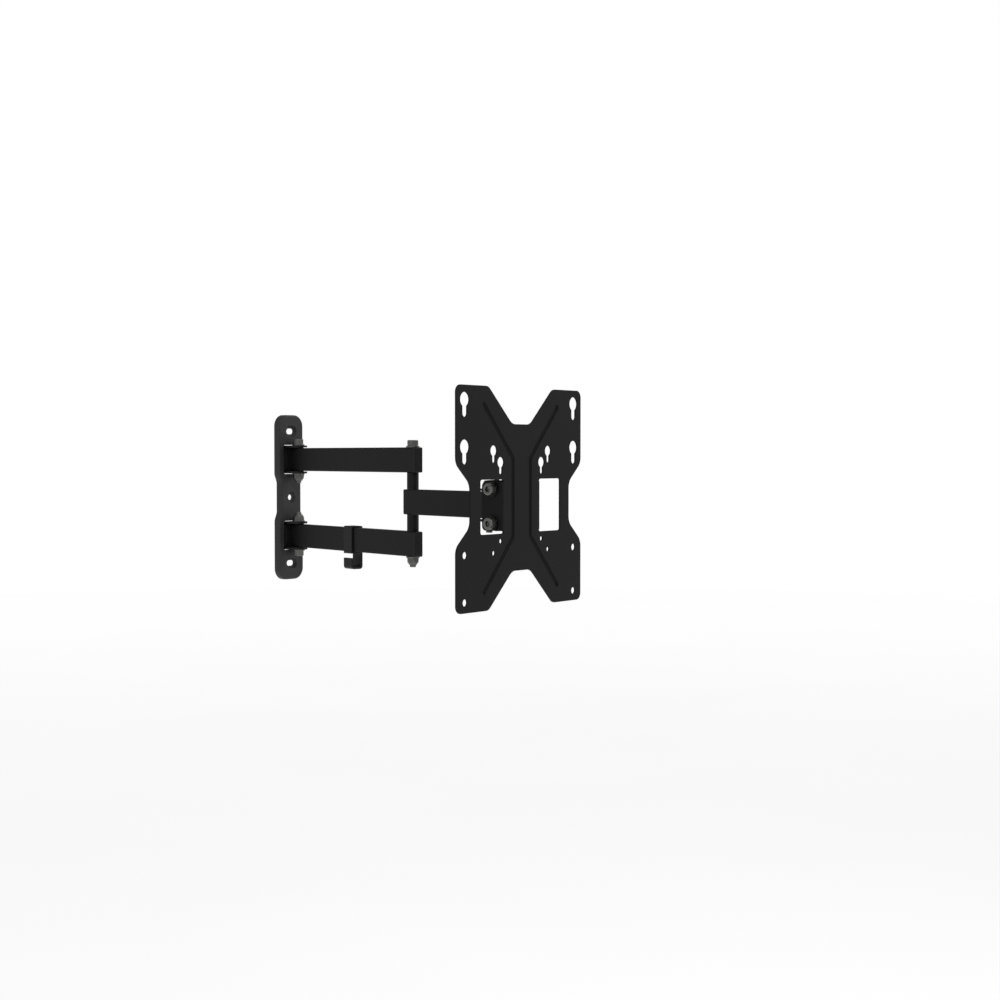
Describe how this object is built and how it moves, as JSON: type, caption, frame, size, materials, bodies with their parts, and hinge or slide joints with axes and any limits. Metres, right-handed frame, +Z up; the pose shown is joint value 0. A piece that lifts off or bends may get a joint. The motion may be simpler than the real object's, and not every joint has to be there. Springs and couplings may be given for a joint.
{
  "type": "full motion television wall mount",
  "caption": "Articulated television wall mount: narrow wall plate, fork arm, forearm with swivel and tilt head, X-shaped screen plate with keyholes, and a sliding cable clip.",
  "frame": {"origin": "on the wall's surface, at the middle of the wall plate, midway between its two hinges", "axes": "+Y into the wall, -Y out into the room, +X to the right as seen from the room, +Z up"},
  "size_m": [0.2386, 0.4632, 0.241],
  "materials": {
    "wall_plate_coat": "satin black powder coat",
    "hinge_coat": "satin black powder coat",
    "arm_coat": "satin black powder coat",
    "sleeve_coat": "satin black powder coat",
    "head_coat": "satin black powder coat",
    "screen_plate_coat": "satin black powder coat",
    "cap_plastic": "matt",
    "bush_plastic": "matt",
    "clip_plastic": "satin",
    "disc_plastic": "matt",
    "bolt_steel": "dull zinc plating",
    "nut_steel": "dull zinc plating",
    "washer_steel": "dull zinc plating",
    "black_steel": "black oxide"
  },
  "bodies": {
    "wall_unit": {"wall_plate": "wall_plate_coat", "upper_hinge_bracket": "hinge_coat", "lower_hinge_bracket": "hinge_coat", "wall_hinge_bolts": "bolt_steel", "wall_hinge_nuts": "nut_steel", "wall_hinge_washers": "washer_steel"},
    "fork_arm": {"upper_beam": "arm_coat", "upper_beam_wall_cap": "cap_plastic", "upper_beam_elbow_cap": "cap_plastic", "lower_beam": "arm_coat", "lower_beam_wall_cap": "cap_plastic", "lower_beam_elbow_cap": "cap_plastic", "wall_hinge_bushes": "bush_plastic", "elbow_bolt": "bolt_steel", "elbow_nut": "nut_steel", "elbow_washers": "washer_steel", "upper_elbow_sleeve": "sleeve_coat", "lower_elbow_sleeve": "sleeve_coat"},
    "cable_clip": {"cable_clip": "clip_plastic"},
    "forearm": {"forearm_beam": "arm_coat", "forearm_elbow_cap": "cap_plastic", "forearm_head_cap": "cap_plastic", "forearm_elbow_bushes": "bush_plastic", "forearm_head_bushes": "bush_plastic"},
    "swivel_head": {"swivel_bracket": "head_coat", "swivel_bolt": "bolt_steel", "swivel_nut": "nut_steel", "swivel_washers": "washer_steel", "tilt_bolts": "black_steel", "tilt_nuts": "nut_steel", "tilt_washers": "black_steel", "tilt_friction_discs": "disc_plastic"},
    "screen_plate": {"screen_plate": "screen_plate_coat"}
  },
  "joints": [
    {"name": "shoulder_swing", "type": "hinge", "parent": "wall_unit", "child": "fork_arm", "pos_m": [0, -0.022, 0], "axis": [0, 0, 1], "range_deg": [-75.6, 104.4]},
    {"name": "elbow", "type": "hinge", "parent": "fork_arm", "child": "forearm", "pos_m": [-0.06491, -0.2748, 0], "axis": [0, 0, -1], "range_deg": [-130, 130]},
    {"name": "head_swivel", "type": "hinge", "parent": "forearm", "child": "swivel_head", "pos_m": [-0.10171, -0.41815, 0], "axis": [0, 0, 1], "range_deg": [-104.4, 75.6]},
    {"name": "tilt", "type": "hinge", "parent": "swivel_head", "child": "screen_plate", "pos_m": [-0.10171, -0.44875, -0.0188], "axis": [1, 0, 0], "range_deg": [-5, 12]},
    {"name": "clip_slide", "type": "slide", "parent": "fork_arm", "child": "cable_clip", "axis": [-0.2487, -0.9686, 0], "range_m": [-0.09, 0.09]}
  ]
}
